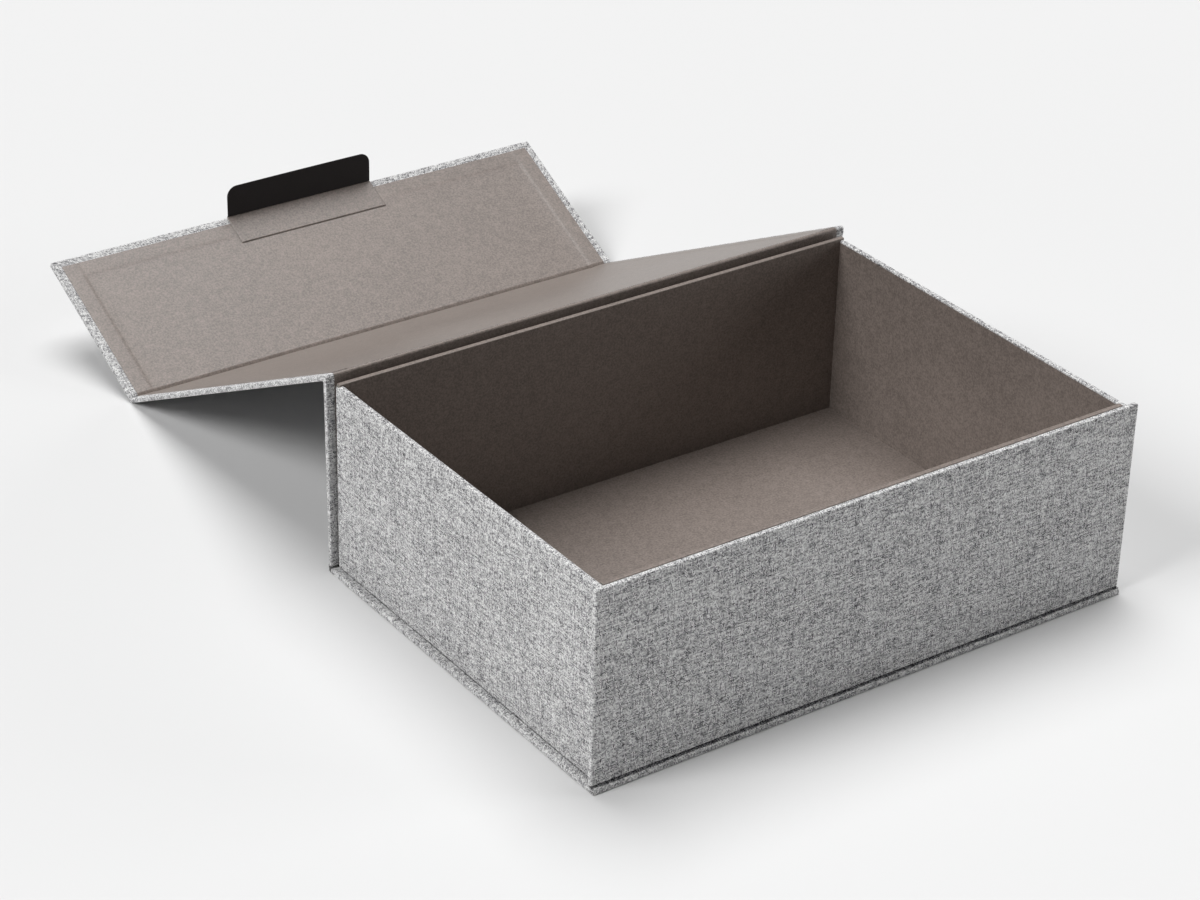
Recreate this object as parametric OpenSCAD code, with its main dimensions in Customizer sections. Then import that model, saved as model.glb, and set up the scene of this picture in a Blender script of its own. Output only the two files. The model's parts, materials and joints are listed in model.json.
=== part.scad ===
// Archival box: a cloth-covered case of five boards wrapped round a paper-lined tray.
// The case is one strip of boards, front panel, base, spine, lid and flap, joined by cloth.
// The lid is drawn folded back until its far edge rests on the table, with the flap half
// raised behind it. A small card tab stands on the flap's free edge.
// +X runs along the front edge, +Y from the front to the spine and +Z up.
// The origin is the centre of the base's underside.

/* [Case] */
// Width of the case, along the front edge
case_w = 335; // [280:1:450]
// Depth of the base, from front edge to back edge
base_d = 240; // [180:1:242]
// Height of the front panel's top edge above the table
front_h = 112.1; // [100:0.1:112.3]
// Height of the lid's hinge line above the table
hinge_h = 114; // [113.9:0.1:116]
// Length of the lid, from its hinge line to the fold of the flap
lid_len = 246; // [246:1:330]
// Length of the flap, from its fold to its free edge
flap_len = 106.6; // [80:0.1:107]
// How far the spine leans back, from its foot to the hinge line
spine_lean = 2.5; // [1:0.1:4]

/* [Materials] */
// Thickness of the greyboard
board_t = 2.4; // [1.8:0.1:2.5]
// Thickness of the bookcloth
cloth_t = 0.4; // [0.3:0.05:0.45]
// Thickness of the lining paper
paper_t = 0.25; // [0.15:0.05:0.3]
// Thickness of the tab's card
card_t = 0.4; // [0.3:0.05:0.5]

/* [Tray] */
// How far the tray's side walls stand in from the case's ends
side_inset = 4; // [2:0.1:6]
// How far the front panel stands in from the base's front edge
front_inset = 2; // [1:0.1:4]
// How far the tray's back wall stands in from the base's back edge
back_inset = 2; // [2:0.1:4]
// Gap between the front panel and the tray's front wall
front_gap = 1.2; // [0.5:0.1:3]
// Height of the side walls' top edges
side_wall_h = 110.9; // [90:0.1:111.7]
// Height of the back wall's top edge
back_wall_h = 112; // [90:0.1:112.1]
// Height of the inner front wall's top edge
inner_front_wall_h = 111.3; // [90:0.1:111.7]

/* [Closure] */
// Width of the tab
tab_w = 99.5; // [50:0.5:150]
// Height of the tab above its crease
tab_h = 19; // [12:0.5:25]
// Radius of the tab's outer corners
tab_corner_r = 6.5; // [2:0.5:10]
// Length of the patch that holds the tab on the flap
patch_len = 21; // [15:0.5:30]
// Diameter of the closure magnets and of the steel discs that they hold on to
magnet_d = 12; // [8:1:18]
// Thickness of a magnet or a steel disc
magnet_t = 1.2; // [0.8:0.1:1.6]
// Distance between the two magnets
magnet_spacing = 200; // [170:5:240]
// Distance from a magnet's centre to the flap's free edge
magnet_edge = 14; // [12:1:30]

/* [Pose] */
// How far the flap rises above the table
flap_rise = 26; // [5:0.5:60]
// How far the tab leans from the flap's own plane towards the flap's inside
tab_fold = 64; // [0:0.5:90]

/* [Hidden] */
$fn = 64;

LINEN = "#9c9a9b";
PAPER = "#8f8781";
BOARD = "#8a8478";
CARD = "#262324";
STEEL = "silver";
TAPE = "ivory";

// Every case panel is finished to one thickness: cloth outside, board, paper inside.
panel_t = cloth_t + board_t + paper_t;
// The tray's front and back walls have paper on both faces.
cross_wall_t = board_t + 2 * paper_t;
// Width of the cloth border that shows round a panel's lining paper
border = 5;
// Width of the cloth and paper turned over an edge and pasted down out of sight
turn_in = 15;
// Distance from a fold line to the boards that it joins
joint_half = 3;
// Room left between pieces that only just meet
slip = 0.05;
// How much smaller a fold's flat parts are on each face, and how far they run into the bend
fold_hair = 0.02;
fold_lap = 0.2;
// How far the fold at the spine's foot stands out from the base
spine_gap = 0.3;
// Height of the groove along the front panel's foot
front_groove = 1.5;
// How far the patch reaches past the card under it
patch_margin = 0.5;

liner_w = case_w - 2 * border;
base_top = panel_t;
front_y = -base_d / 2 + front_inset;
front_panel_back_y = front_y + panel_t;
tray_front_y = front_panel_back_y + front_gap;
tray_back_y = base_d / 2 - back_inset;
tray_half_w = case_w / 2 - side_inset;
inner_half_w = tray_half_w - panel_t;
floor_y0 = tray_front_y + cross_wall_t;
floor_y1 = tray_back_y - cross_wall_t;

// The spine's middle plane runs from the base's back edge up to the hinge line.
spine_foot_y = base_d / 2 + spine_gap;
spine_foot_z = panel_t / 2;
spine_rise = hinge_h - spine_foot_z;
spine_len = sqrt(pow(spine_rise, 2) + pow(spine_lean, 2));
spine_angle = atan2(spine_lean, spine_rise);
hinge_y = spine_foot_y + spine_lean;

// The open lid slopes down until the outside of its fold touches the table.
lid_slope = asin((hinge_h - panel_t / 2) / lid_len);
flap_fold = lid_slope + flap_rise;

// The front panel starts a little above the base, so that the cloth between them folds.
panel_foot_z = base_top + front_groove;
// Where the magnets meet the front panel once the box is closed
disc_h = hinge_h - flap_len + magnet_edge;

// The tab's own leaf clears the patch, so that it folds flat over it.
leaf_clearance = 0.15;
root_z = panel_t / 2;
patch_z = root_z + card_t;
crease_z = patch_z + paper_t + leaf_clearance + card_t / 2;
crease_y = flap_len - card_t / 2;

// The strips that hold the tray in the case
strip_w = 12;
strip_end_gap = 30;
strip_foot_gap = 10;
strip_z0 = panel_foot_z + strip_foot_gap;
front_strip_z1 = inner_front_wall_h - turn_in - strip_foot_gap;

// Placements. Each draws its children with +Y along the panel and +Z towards its lining.
module on_front() {
    translate([0, front_y + panel_t / 2, 0]) rotate([90, 0, 180]) children();
}

module on_spine() {
    translate([0, spine_foot_y, spine_foot_z]) rotate([90 - spine_angle, 0, 0]) children();
}

module on_lid() {
    translate([0, hinge_y, hinge_h]) rotate([-lid_slope, 0, 0]) children();
}

module on_flap() {
    on_lid() translate([0, lid_len, 0]) rotate([flap_fold, 0, 0]) children();
}

module on_tab() {
    on_flap() translate([0, crease_y, crease_z]) rotate([tab_fold, 0, 0]) children();
}

// A box centred across X, from y0 to y1 and from z0 to z1
module slab(w, y0, y1, z0, z1) {
    translate([-w / 2, y0, z0]) cube([w, y1 - y0, z1 - z0]);
}

// The greyboard of a case panel. Its far edge is free, or meets another fold.
module panel_board(y0, y1, free_end) {
    far = free_end ? y1 - cloth_t : y1;
    slab(case_w - 2 * cloth_t, y0, far, -panel_t / 2 + cloth_t, panel_t / 2 - paper_t);
}

// The lining paper of a case panel, inset so that a border of cloth shows round it
module panel_liner(y0, y1, free_end) {
    far = free_end ? y1 - border : y1;
    slab(liner_w, y0, far, panel_t / 2 - paper_t, panel_t / 2);
}

// The cloth of a case panel: its outside, its edges and the border turned in round them
module panel_cloth(y0, y1, free_end) {
    difference() {
        slab(case_w, y0, y1, -panel_t / 2, panel_t / 2);
        panel_board(y0, y1, free_end);
        panel_liner(y0, y1, free_end);
    }
}

// The bend of one flexible layer round a fold line on the X axis. Start and end are the
// angles of the two panels' normals on the outside of the bend.
module fold_bend(w, r_in, r_out, start, end) {
    rotate([90, 0, 90]) rotate(start) rotate_extrude(angle = end - start) {
        translate([r_in, -w / 2]) square([r_out - r_in, w]);
    }
}

// A flat part of the same layer, at one angle of the bend, from y0 to y1 along its panel.
// It is a hair thinner and narrower than the bend, which it runs into a little way.
module fold_web(w, r_in, r_out, angle, y0, y1) {
    rotate([90, 0, 90]) rotate(angle) translate([r_in + fold_hair, y0, fold_hair - w / 2]) {
        cube([r_out - r_in - 2 * fold_hair, y1 - y0, w - 2 * fold_hair]);
    }
}

// A layer that bends round a fold and runs on flat as far as the two boards. With a riser
// it also climbs the boards' edges, as far as the middle of the panel.
module fold_strip(w, r_in, r_out, start, end, riser) {
    fold_bend(w, r_in, r_out, start, end);
    fold_web(w, r_in, r_out, start, slip - joint_half, fold_lap);
    fold_web(w, r_in, r_out, end, -fold_lap, joint_half - slip);
    if (riser > 0) {
        fold_web(w, 0, r_in + 2 * fold_hair, start, slip - joint_half, riser - joint_half);
        fold_web(w, 0, r_in + 2 * fold_hair, end, joint_half - riser, joint_half - slip);
    }
}

// Two discs side by side, with their upper faces at z
module disc_pair(y, z) {
    for (side = [-1, 1]) {
        translate([side * magnet_spacing / 2, y, z - magnet_t]) cylinder(d = magnet_d, h = magnet_t);
    }
}

module base_core() {
    slab(case_w - 2 * cloth_t, -base_d / 2 + cloth_t, base_d / 2 - cloth_t,
         cloth_t, cloth_t + board_t);
}

module base_board() {
    color(BOARD) base_core();
}

// The cloth covers the base's underside and edges, and is turned in over the top.
module base_cloth() {
    color(LINEN) difference() {
        slab(case_w, -base_d / 2, base_d / 2, 0, base_top);
        base_core();
        slab(case_w - 2 * turn_in, -base_d / 2 + turn_in, base_d / 2 - turn_in,
             cloth_t, 2 * base_top);
    }
}

module front_board() {
    color(BOARD) on_front() difference() {
        panel_board(panel_foot_z, front_h, true);
        disc_pair(disc_h, -panel_t / 2 + cloth_t + magnet_t);
    }
}

module front_cloth() {
    color(LINEN) on_front() panel_cloth(panel_foot_z, front_h, true);
}

module front_liner() {
    color(PAPER) on_front() panel_liner(panel_foot_z, front_h, true);
}

// The cloth between base and front panel lies in the groove along the panel's foot.
module front_joint_cloth() {
    color(LINEN) {
        slab(case_w, front_y - front_inset / 2, front_y + panel_t / 2, base_top, base_top + cloth_t);
        slab(case_w, front_y + panel_t / 2 - cloth_t, front_y + panel_t / 2, base_top, panel_foot_z);
    }
}

module front_steel_discs() {
    color(STEEL) on_front() disc_pair(disc_h, -panel_t / 2 + cloth_t + magnet_t);
}

module spine_board() {
    color(BOARD) on_spine() panel_board(joint_half, spine_len - joint_half, false);
}

module spine_cloth() {
    color(LINEN) on_spine() panel_cloth(joint_half, spine_len - joint_half, false);
}

module spine_liner() {
    color(PAPER) on_spine() panel_liner(joint_half, spine_len - joint_half, false);
}

// The cloth between base and spine runs round the outside of the fold at the spine's foot.
module spine_joint_cloth() {
    r_out = panel_t / 2;
    r_in = r_out - cloth_t;
    color(LINEN) translate([0, spine_foot_y, spine_foot_z]) {
        fold_bend(case_w, r_in, r_out, -90, -spine_angle);
        fold_web(case_w, r_in, r_out, -90, slip - spine_gap, fold_lap);
        fold_web(case_w, r_in, r_out, -spine_angle, -fold_lap, joint_half - slip);
    }
}

module tray_floor_board() {
    color(BOARD) slab(2 * (inner_half_w - slip), floor_y0, floor_y1, base_top, base_top + board_t);
}

module tray_floor_liner() {
    color(PAPER) slab(2 * (inner_half_w - slip), floor_y0, floor_y1,
                      base_top + board_t, base_top + board_t + paper_t);
}

// A side wall is drawn on the +X side, and mirrored for the other. The left wall is pasted
// up against the front panel, and the right one stands clear of it.
module on_side(side) {
    mirror([side < 0 ? 1 : 0, 0, 0]) translate([tray_half_w, 0, 0]) children();
}

function side_wall_y0(side) = side < 0 ? front_panel_back_y + slip : tray_front_y;

module side_wall_board(side) {
    y0 = side_wall_y0(side);
    on_side(side) translate([-cloth_t - board_t, y0, base_top])
    cube([board_t, floor_y1 - slip - y0, side_wall_h - cloth_t - base_top]);
}

// The cloth covers the wall's outer face, past the end of the back wall, and its top edge.
module side_wall_cloth(side) {
    y0 = side_wall_y0(side);
    on_side(side) {
        translate([-cloth_t, y0, base_top]) cube([cloth_t, tray_back_y - y0, side_wall_h - base_top]);
        translate([-panel_t, y0, side_wall_h - cloth_t]) cube([panel_t, floor_y1 - slip - y0, cloth_t]);
    }
}

module side_wall_liner(side) {
    y0 = side_wall_y0(side);
    on_side(side) translate([-panel_t, y0, base_top])
    cube([paper_t, floor_y1 - slip - y0, side_wall_h - cloth_t - base_top]);
}

module left_wall_board() {
    color(BOARD) side_wall_board(-1);
}

module left_wall_cloth() {
    color(LINEN) side_wall_cloth(-1);
}

module left_wall_liner() {
    color(PAPER) side_wall_liner(-1);
}

module right_wall_board() {
    color(BOARD) side_wall_board(1);
}

module right_wall_cloth() {
    color(LINEN) side_wall_cloth(1);
}

module right_wall_liner() {
    color(PAPER) side_wall_liner(1);
}

module cross_wall_board(w, y0, top) {
    slab(w, y0 + paper_t, y0 + paper_t + board_t, base_top, top - paper_t);
}

// Paper covers the wall's inner face and its top edge, and is turned down outside.
// The inner face is the one towards +Y for inward = 1, and towards -Y for inward = -1.
module cross_wall_liner(w, y0, top, inward) {
    inner_y0 = inward > 0 ? y0 + cross_wall_t - paper_t : y0;
    outer_y0 = inward > 0 ? y0 : y0 + cross_wall_t - paper_t;
    slab(w, inner_y0, inner_y0 + paper_t, base_top, top);
    slab(w, outer_y0, outer_y0 + paper_t, top - turn_in, top);
    slab(w, y0, y0 + cross_wall_t, top - paper_t, top);
}

module back_wall_board() {
    color(BOARD) cross_wall_board(2 * (tray_half_w - cloth_t - slip), floor_y1, back_wall_h);
}

module back_wall_liner() {
    color(PAPER) cross_wall_liner(2 * (tray_half_w - cloth_t - slip), floor_y1, back_wall_h, -1);
}

module inner_front_wall_board() {
    color(BOARD) cross_wall_board(2 * (inner_half_w - slip), tray_front_y, inner_front_wall_h);
}

module inner_front_wall_liner() {
    color(PAPER) cross_wall_liner(2 * (inner_half_w - slip), tray_front_y, inner_front_wall_h, 1);
}

// Upright strips bond the tray's front wall to the front panel, below sight.
module front_adhesive_strips() {
    color(TAPE) for (side = [-1, 1]) {
        translate([side * (inner_half_w - strip_end_gap), 0, 0])
        slab(strip_w, front_panel_back_y, tray_front_y + paper_t, strip_z0, front_strip_z1);
    }
}

// One strip along the foot bonds the tray's back wall to the spine. It fills the wedge.
module back_adhesive_strip() {
    function spine_face_y(z) =
        spine_foot_y + (z - spine_foot_z) * tan(spine_angle) - panel_t / 2 / cos(spine_angle);
    z1 = strip_z0 + strip_w;
    color(TAPE) rotate([90, 0, 90])
    linear_extrude(height = 2 * (inner_half_w - strip_end_gap), center = true)
    polygon([[tray_back_y - paper_t, strip_z0], [spine_face_y(strip_z0) - slip, strip_z0],
             [spine_face_y(z1) - slip, z1], [tray_back_y - paper_t, z1]]);
}

// At the spine the paper is on the outside of the bend, with the cloth under it.
module on_lid_hinge() {
    translate([0, hinge_y, hinge_h]) children();
}

module lid_hinge_cloth() {
    r_out = panel_t / 2 - paper_t;
    color(LINEN) on_lid_hinge()
    fold_strip(case_w, r_out - cloth_t, r_out, 90 - lid_slope, 180 - spine_angle, cloth_t);
}

module lid_hinge_liner() {
    r_out = panel_t / 2;
    color(PAPER) on_lid_hinge()
    fold_strip(liner_w, r_out - paper_t, r_out, 90 - lid_slope, 180 - spine_angle, 0);
}

module lid_board() {
    color(BOARD) on_lid() panel_board(joint_half, lid_len - joint_half, false);
}

module lid_cloth() {
    color(LINEN) on_lid() panel_cloth(joint_half, lid_len - joint_half, false);
}

module lid_liner() {
    color(PAPER) on_lid() panel_liner(joint_half, lid_len - joint_half, false);
}

// At the flap the cloth is on the outside of the bend, with the paper pressed into it.
module on_flap_hinge() {
    translate([0, hinge_y + lid_len * cos(lid_slope), hinge_h - lid_len * sin(lid_slope)]) children();
}

module flap_hinge_cloth() {
    r_out = panel_t / 2;
    color(LINEN) on_flap_hinge()
    fold_strip(case_w, r_out - cloth_t, r_out, -90 - lid_slope, flap_rise - 90, 0);
}

module flap_hinge_liner() {
    r_out = panel_t / 2 - cloth_t;
    color(PAPER) on_flap_hinge()
    fold_strip(liner_w, r_out - paper_t, r_out, -90 - lid_slope, flap_rise - 90, paper_t);
}

module flap_board() {
    color(BOARD) on_flap() difference() {
        panel_board(joint_half, flap_len, true);
        disc_pair(flap_len - magnet_edge, panel_t / 2 - paper_t);
    }
}

module flap_cloth() {
    color(LINEN) on_flap() panel_cloth(joint_half, flap_len, true);
}

module flap_liner() {
    color(PAPER) on_flap() panel_liner(joint_half, flap_len, true);
}

module flap_magnets() {
    color(STEEL) on_flap() disc_pair(flap_len - magnet_edge, panel_t / 2 - paper_t);
}

// The tab is one card with two leaves. This one is pasted on the flap's lining.
module tab_root() {
    color(CARD) on_flap() slab(tab_w, flap_len - patch_len + patch_margin, crease_y, root_z, patch_z);
}

module tab_patch() {
    patch_w = tab_w + 2 * patch_margin;
    patch_y0 = flap_len - patch_len;
    color(PAPER) on_flap() {
        slab(patch_w, patch_y0, crease_y, patch_z, patch_z + paper_t);
        slab(patch_w, patch_y0, patch_y0 + patch_margin, root_z, patch_z + paper_t);
    }
}

// The tab's free leaf, with a round crease on the line that it folds about
module tab_leaf() {
    color(CARD) on_tab() {
        translate([0, 0, -card_t / 2]) linear_extrude(height = card_t) {
            translate([-tab_w / 2, 0]) square([tab_w, tab_h - tab_corner_r]);
            translate([-tab_w / 2 + tab_corner_r, 0]) square([tab_w - 2 * tab_corner_r, tab_h]);
            for (side = [-1, 1]) {
                translate([side * (tab_w / 2 - tab_corner_r), tab_h - tab_corner_r])
                circle(r = tab_corner_r);
            }
        }
        rotate([0, 90, 0]) cylinder(d = card_t, h = tab_w, center = true);
    }
}

base_board();
base_cloth();
front_board();
front_cloth();
front_liner();
front_joint_cloth();
front_steel_discs();
spine_board();
spine_cloth();
spine_liner();
spine_joint_cloth();
tray_floor_board();
tray_floor_liner();
left_wall_board();
left_wall_cloth();
left_wall_liner();
right_wall_board();
right_wall_cloth();
right_wall_liner();
back_wall_board();
back_wall_liner();
inner_front_wall_board();
inner_front_wall_liner();
front_adhesive_strips();
back_adhesive_strip();
lid_hinge_cloth();
lid_hinge_liner();
lid_board();
lid_cloth();
lid_liner();
flap_hinge_cloth();
flap_hinge_liner();
flap_board();
flap_cloth();
flap_liner();
flap_magnets();
tab_root();
tab_patch();
tab_leaf();
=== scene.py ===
import json
import math

import bmesh
import bpy
from mathutils import Matrix, Vector, noise


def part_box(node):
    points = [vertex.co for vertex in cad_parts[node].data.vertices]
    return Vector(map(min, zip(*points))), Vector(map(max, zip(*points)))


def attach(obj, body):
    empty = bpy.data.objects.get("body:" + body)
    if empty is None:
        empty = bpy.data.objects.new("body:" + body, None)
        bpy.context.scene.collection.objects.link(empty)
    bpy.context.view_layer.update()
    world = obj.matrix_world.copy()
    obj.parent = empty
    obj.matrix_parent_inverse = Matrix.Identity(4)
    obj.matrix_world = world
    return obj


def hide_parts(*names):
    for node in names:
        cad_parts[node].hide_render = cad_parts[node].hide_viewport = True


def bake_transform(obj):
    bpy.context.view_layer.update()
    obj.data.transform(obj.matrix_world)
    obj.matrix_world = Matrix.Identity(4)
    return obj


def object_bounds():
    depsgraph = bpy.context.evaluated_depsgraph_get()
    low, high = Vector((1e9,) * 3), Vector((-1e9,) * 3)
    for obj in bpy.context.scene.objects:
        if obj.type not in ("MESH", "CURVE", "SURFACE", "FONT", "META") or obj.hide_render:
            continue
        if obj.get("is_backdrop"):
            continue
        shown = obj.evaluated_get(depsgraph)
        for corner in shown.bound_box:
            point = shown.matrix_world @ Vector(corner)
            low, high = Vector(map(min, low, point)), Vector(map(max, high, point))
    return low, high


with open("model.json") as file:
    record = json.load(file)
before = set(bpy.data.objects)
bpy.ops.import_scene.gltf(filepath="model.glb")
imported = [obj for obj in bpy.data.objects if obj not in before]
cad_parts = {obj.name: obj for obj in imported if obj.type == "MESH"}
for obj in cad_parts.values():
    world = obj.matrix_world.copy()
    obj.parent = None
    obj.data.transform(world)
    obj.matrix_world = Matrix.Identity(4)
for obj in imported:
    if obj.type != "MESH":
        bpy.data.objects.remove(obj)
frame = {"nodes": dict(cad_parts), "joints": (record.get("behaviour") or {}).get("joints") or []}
cad_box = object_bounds()

MM = 0.001
X_AXIS = Vector((1, 0, 0))


# ---- Sizes, read from the frame ----

def joint(name):
    """One joint's entry in the frame."""
    return next(entry for entry in frame["joints"] if entry["name"] == name)


base_lo, base_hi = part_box("base_cloth")
core_lo, core_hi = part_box("base_board")

HALF_W = base_hi.x
PANEL_T = base_hi.z - base_lo.z
HALF_T = PANEL_T / 2
CLOTH_T = core_lo.z - base_lo.z
PAPER_T = base_hi.z - core_hi.z
BORDER = HALF_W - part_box("lid_liner")[1].x
TURN_IN = 15 * MM          # how far the cloth is turned in under the lining paper
JOINT_HALF = 3 * MM        # half the width of the cloth and paper strips over a fold
SPINE_ROOM = 0.3 * MM      # the spine's foot stands this far behind the base

HINGE = Vector(joint("lid_hinge")["pos_m"])
FOLD = Vector(joint("flap_fold")["pos_m"])
CREASE = Vector(joint("tab_crease")["pos_m"])
SPINE_FOOT = Vector((0, base_hi.y + SPINE_ROOM, HALF_T))
LID_LEN = (FOLD - HINGE).length
SPINE_LEN = (HINGE - SPINE_FOOT).length
LID_SLOPE = math.asin((HINGE.z - FOLD.z) / LID_LEN)
SPINE_LEAN = math.asin((HINGE.y - SPINE_FOOT.y) / SPINE_LEN)
FLAP_RISE = math.radians(-joint("flap_fold")["range_deg"][0]) - LID_SLOPE
TAB_LEAN = FLAP_RISE + math.radians(-joint("tab_crease")["range_deg"][0])

# Looks: how the cloth and paper lie on the boards
HAIR = 0.02 * MM           # a gap that keeps faces from lying in one plane
EDGE_R = 0.8 * MM          # roundness of a covered edge
CORNER_R = 0.9 * MM        # roundness of a covered corner
SMALL_R = 0.05 * MM        # the least roundness of a corner that lies further in
FACE_INSET = 20 * MM       # how far in from its edges a panel's outer face is divided
PALE_EDGE_W = 1.6 * MM          # width of the stretch along an edge where the paler cloth fades out: rubbed wear and painted highlight
PRESSED = 0.12 * MM        # how far the turned-in cloth is pressed down under the paper
PRESS_W = 0.8 * MM         # width of the slope down to the pressed cloth
OFF_BOARD = 0.05           # share of the way to its face that cloth's hidden side is off the board
SHEET_T = 0.36 * MM        # visible thickness of a loose sheet of cloth or card
PAPER_SKIN = 0.13 * MM     # visible thickness of the lining paper
RIDGE_UP = 0.14 * MM       # the paper stands this far up over the turned-in cloth,
RIDGE_DOWN = 0.10 * MM     # and this far down past it
RIDGE_W = 3.0 * MM         # width of the slope between the two
BEND_R = 2.2 * MM          # radius of the flap's fold at the middle plane
FOLD_DIP = 0.9 * MM        # how far the paper is pressed into the groove at the flap's fold
FOOT_GAP = 0.6 * MM        # height of the dark line under a side wall's cloth, which carries painted shade
FOOT_RECESS = 0.3 * MM     # how far in from the cloth that line lies
CAP_W = 1.2 * MM           # length of the folded-in cloth at each end of the lid's hinge
TUCK = 1.0 * MM            # the spine's cloth ends this far below the hinge line

# Length and depth of the paper's slow unevenness
PANEL_WAVES = (40 * MM, 0.05 * MM)
WALL_WAVES = (40 * MM, 0.04 * MM)
FLOOR_WAVES = (45 * MM, 0.08 * MM)
PATCH_WAVES = (12 * MM, 0.05 * MM)

# Spacing of the points along cloth, along paper, and across a fold
CLOTH_STEP = 12 * MM
PAPER_STEP = 9 * MM
FOLD_STEP = 0.35 * MM


# ---- Mesh tools ----

class Panel:
    """A flat part of the case. Along runs from its near edge, and inward faces its lining."""

    def __init__(self, origin, along, body, run, across=X_AXIS):
        self.origin = Vector(origin)
        self.along = Vector(along)
        self.across = Vector(across)
        self.inward = self.across.cross(self.along)
        self.body = body
        self.run = run    # where the panel lies along the one long strip of cloth

    def point(self, x, y, n):
        """The place of a point x across, y along and n in from the panel's middle plane."""
        return self.origin + x * self.across + y * self.along + n * self.inward


class Fold:
    """A bend from one panel into the next. Its y runs from minus reach to plus reach."""

    def __init__(self, before, after, before_len, radius):
        self.before = before
        self.after = after
        self.before_len = before_len
        self.radius = radius
        self.angle = before.along.angle(after.along)
        self.tangent = radius * math.tan(self.angle / 2)
        self.run = before.run + before_len

    def point(self, x, y, n):
        """The place of a point x across, y past the fold line and n in from the middle plane."""
        dip = FOLD_DIP * smooth(1 - abs(y) / JOINT_HALF)
        n -= dip * (n + HALF_T) / PANEL_T
        if y <= -self.tangent:
            return self.before.point(x, self.before_len + y, n)
        if y >= self.tangent:
            return self.after.point(x, y, n)
        start = self.before_len - self.tangent
        centre = self.before.point(x, start, self.radius)
        turn = self.angle * (y + self.tangent) / (2 * self.tangent)
        return centre + Matrix.Rotation(turn, 3, "X") @ (self.before.point(x, start, n) - centre)


class Skin:
    """An open sheet of faces with a show side and a hidden side, closed into one solid layer."""

    def __init__(self):
        self.outer = []
        self.inner = []
        self.threads = []
        self.wear_and_painted_light = []
        self.faces = []

    def add(self, outer, inner, thread, wear_and_painted_light=0.0):
        """Adds a point on both sides, with its place in the cloth, and returns its number."""
        self.outer.append(outer)
        self.inner.append(inner)
        self.threads.append(thread)
        self.wear_and_painted_light.append(wear_and_painted_light)
        return len(self.outer) - 1

    def grid(self, rows, closed=False):
        """Joins rows of point numbers with quads."""
        for near, far in zip(rows, rows[1:]):
            last = len(near) if closed else len(near) - 1
            for i in range(last):
                j = (i + 1) % len(near)
                self.faces.append((near[i], near[j], far[j], far[i]))

    def sheet(self, xs, ys, point):
        """Adds a grid of points. point(x, y) gives what add takes."""
        self.grid([[self.add(*point(x, y)) for x in xs] for y in ys])

    def rim(self):
        """The faces that join both sides along every open edge of the sheet."""
        count = len(self.outer)
        directed = {(f[i], f[(i + 1) % len(f)]) for f in self.faces for i in range(len(f))}
        loose = sorted(edge for edge in directed if (edge[1], edge[0]) not in directed)
        return [(b, a, a + count, b + count) for a, b in loose]

    def build(self, name, material):
        """The closed mesh object."""
        count = len(self.outer)
        hidden = [tuple(count + i for i in reversed(face)) for face in self.faces]
        return mesh_object(name, self.outer + self.inner, self.faces + hidden + self.rim(),
                           self.threads * 2, self.wear_and_painted_light * 2, material)


def mesh_object(name, points, faces, threads, wear_and_painted_light, material):
    """A smooth-shaded object whose thread map gives each point's place in the cloth, in metres."""
    mesh = bpy.data.meshes.new(name)
    mesh.from_pydata(points, [], faces)
    # the mark that the cloth's material reads: rubbed wear and painted highlight on edges, painted
    # shade in grooves
    wear_light_mark = mesh.attributes.new("wear_and_painted_light", "FLOAT", "POINT")
    wear_light_mark.data.foreach_set("value", wear_and_painted_light)
    layer = mesh.uv_layers.new(name="threads")
    for loop in mesh.loops:
        layer.data[loop.index].uv = threads[loop.vertex_index]
    work = bmesh.new()
    work.from_mesh(mesh)
    bmesh.ops.recalc_face_normals(work, faces=work.faces)
    work.to_mesh(mesh)
    work.free()
    mesh.shade_smooth()
    mesh.set_sharp_from_angle(angle=math.radians(32))
    mesh.materials.append(material)
    obj = bpy.data.objects.new(name, mesh)
    bpy.context.scene.collection.objects.link(obj)
    return obj


def spread(first, last, step):
    """Evenly spaced values from first to last, about a step apart."""
    count = max(1, round(abs(last - first) / step))
    return [first + (last - first) * i / count for i in range(count + 1)]


def smooth(value):
    """A smooth rise from 0 to 1."""
    value = min(max(value, 0.0), 1.0)
    return value * value * (3 - 2 * value)


def rounded(corners, radius, closed=False, line_steps=1, arc_steps=4):
    """A path through 2-D corners, with its bends rounded and its straight runs divided."""
    count = len(corners)
    stops = []
    for index, corner in enumerate(corners):
        here = Vector(corner)
        if not closed and index in (0, count - 1):
            stops.append([here])
            continue
        before = (Vector(corners[index - 1]) - here).normalized()
        after = (Vector(corners[(index + 1) % count]) - here).normalized()
        half = before.angle(after) / 2
        if half > math.radians(89.9):
            stops.append([here])
            continue
        centre = here + (before + after).normalized() * radius / math.sin(half)
        first = here + before * radius / math.tan(half) - centre
        last = here + after * radius / math.tan(half) - centre
        turn = math.pi - 2 * half
        parts = [turn * i / arc_steps for i in range(arc_steps + 1)]
        stops.append([centre + (first * math.sin(turn - part) + last * math.sin(part)) / math.sin(turn)
                      for part in parts])
    path = list(stops[0])
    for stop in stops[1:] + ([stops[0]] if closed else []):
        start = path[-1]
        path += [start.lerp(stop[0], i / line_steps) for i in range(1, line_steps)]
        path += stop
    return path[:-len(stops[0])] if closed else path


def offset(path, depth):
    """The same open path moved sideways, to the right of its direction."""
    moved = []
    for index, here in enumerate(path):
        before = path[max(index - 1, 0)]
        after = path[min(index + 1, len(path) - 1)]
        way = (after - before).normalized()
        moved.append(here + Vector((way.y, -way.x)) * depth)
    return moved


def arc(centre, radius, start, end, steps=14):
    """Points (y, z) on a circle round an axis along X, between two angles in radians."""
    angles = [start + (end - start) * i / steps for i in range(steps + 1)]
    return [Vector((centre.y + radius * math.cos(a), centre.z + radius * math.sin(a)))
            for a in angles]


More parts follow.
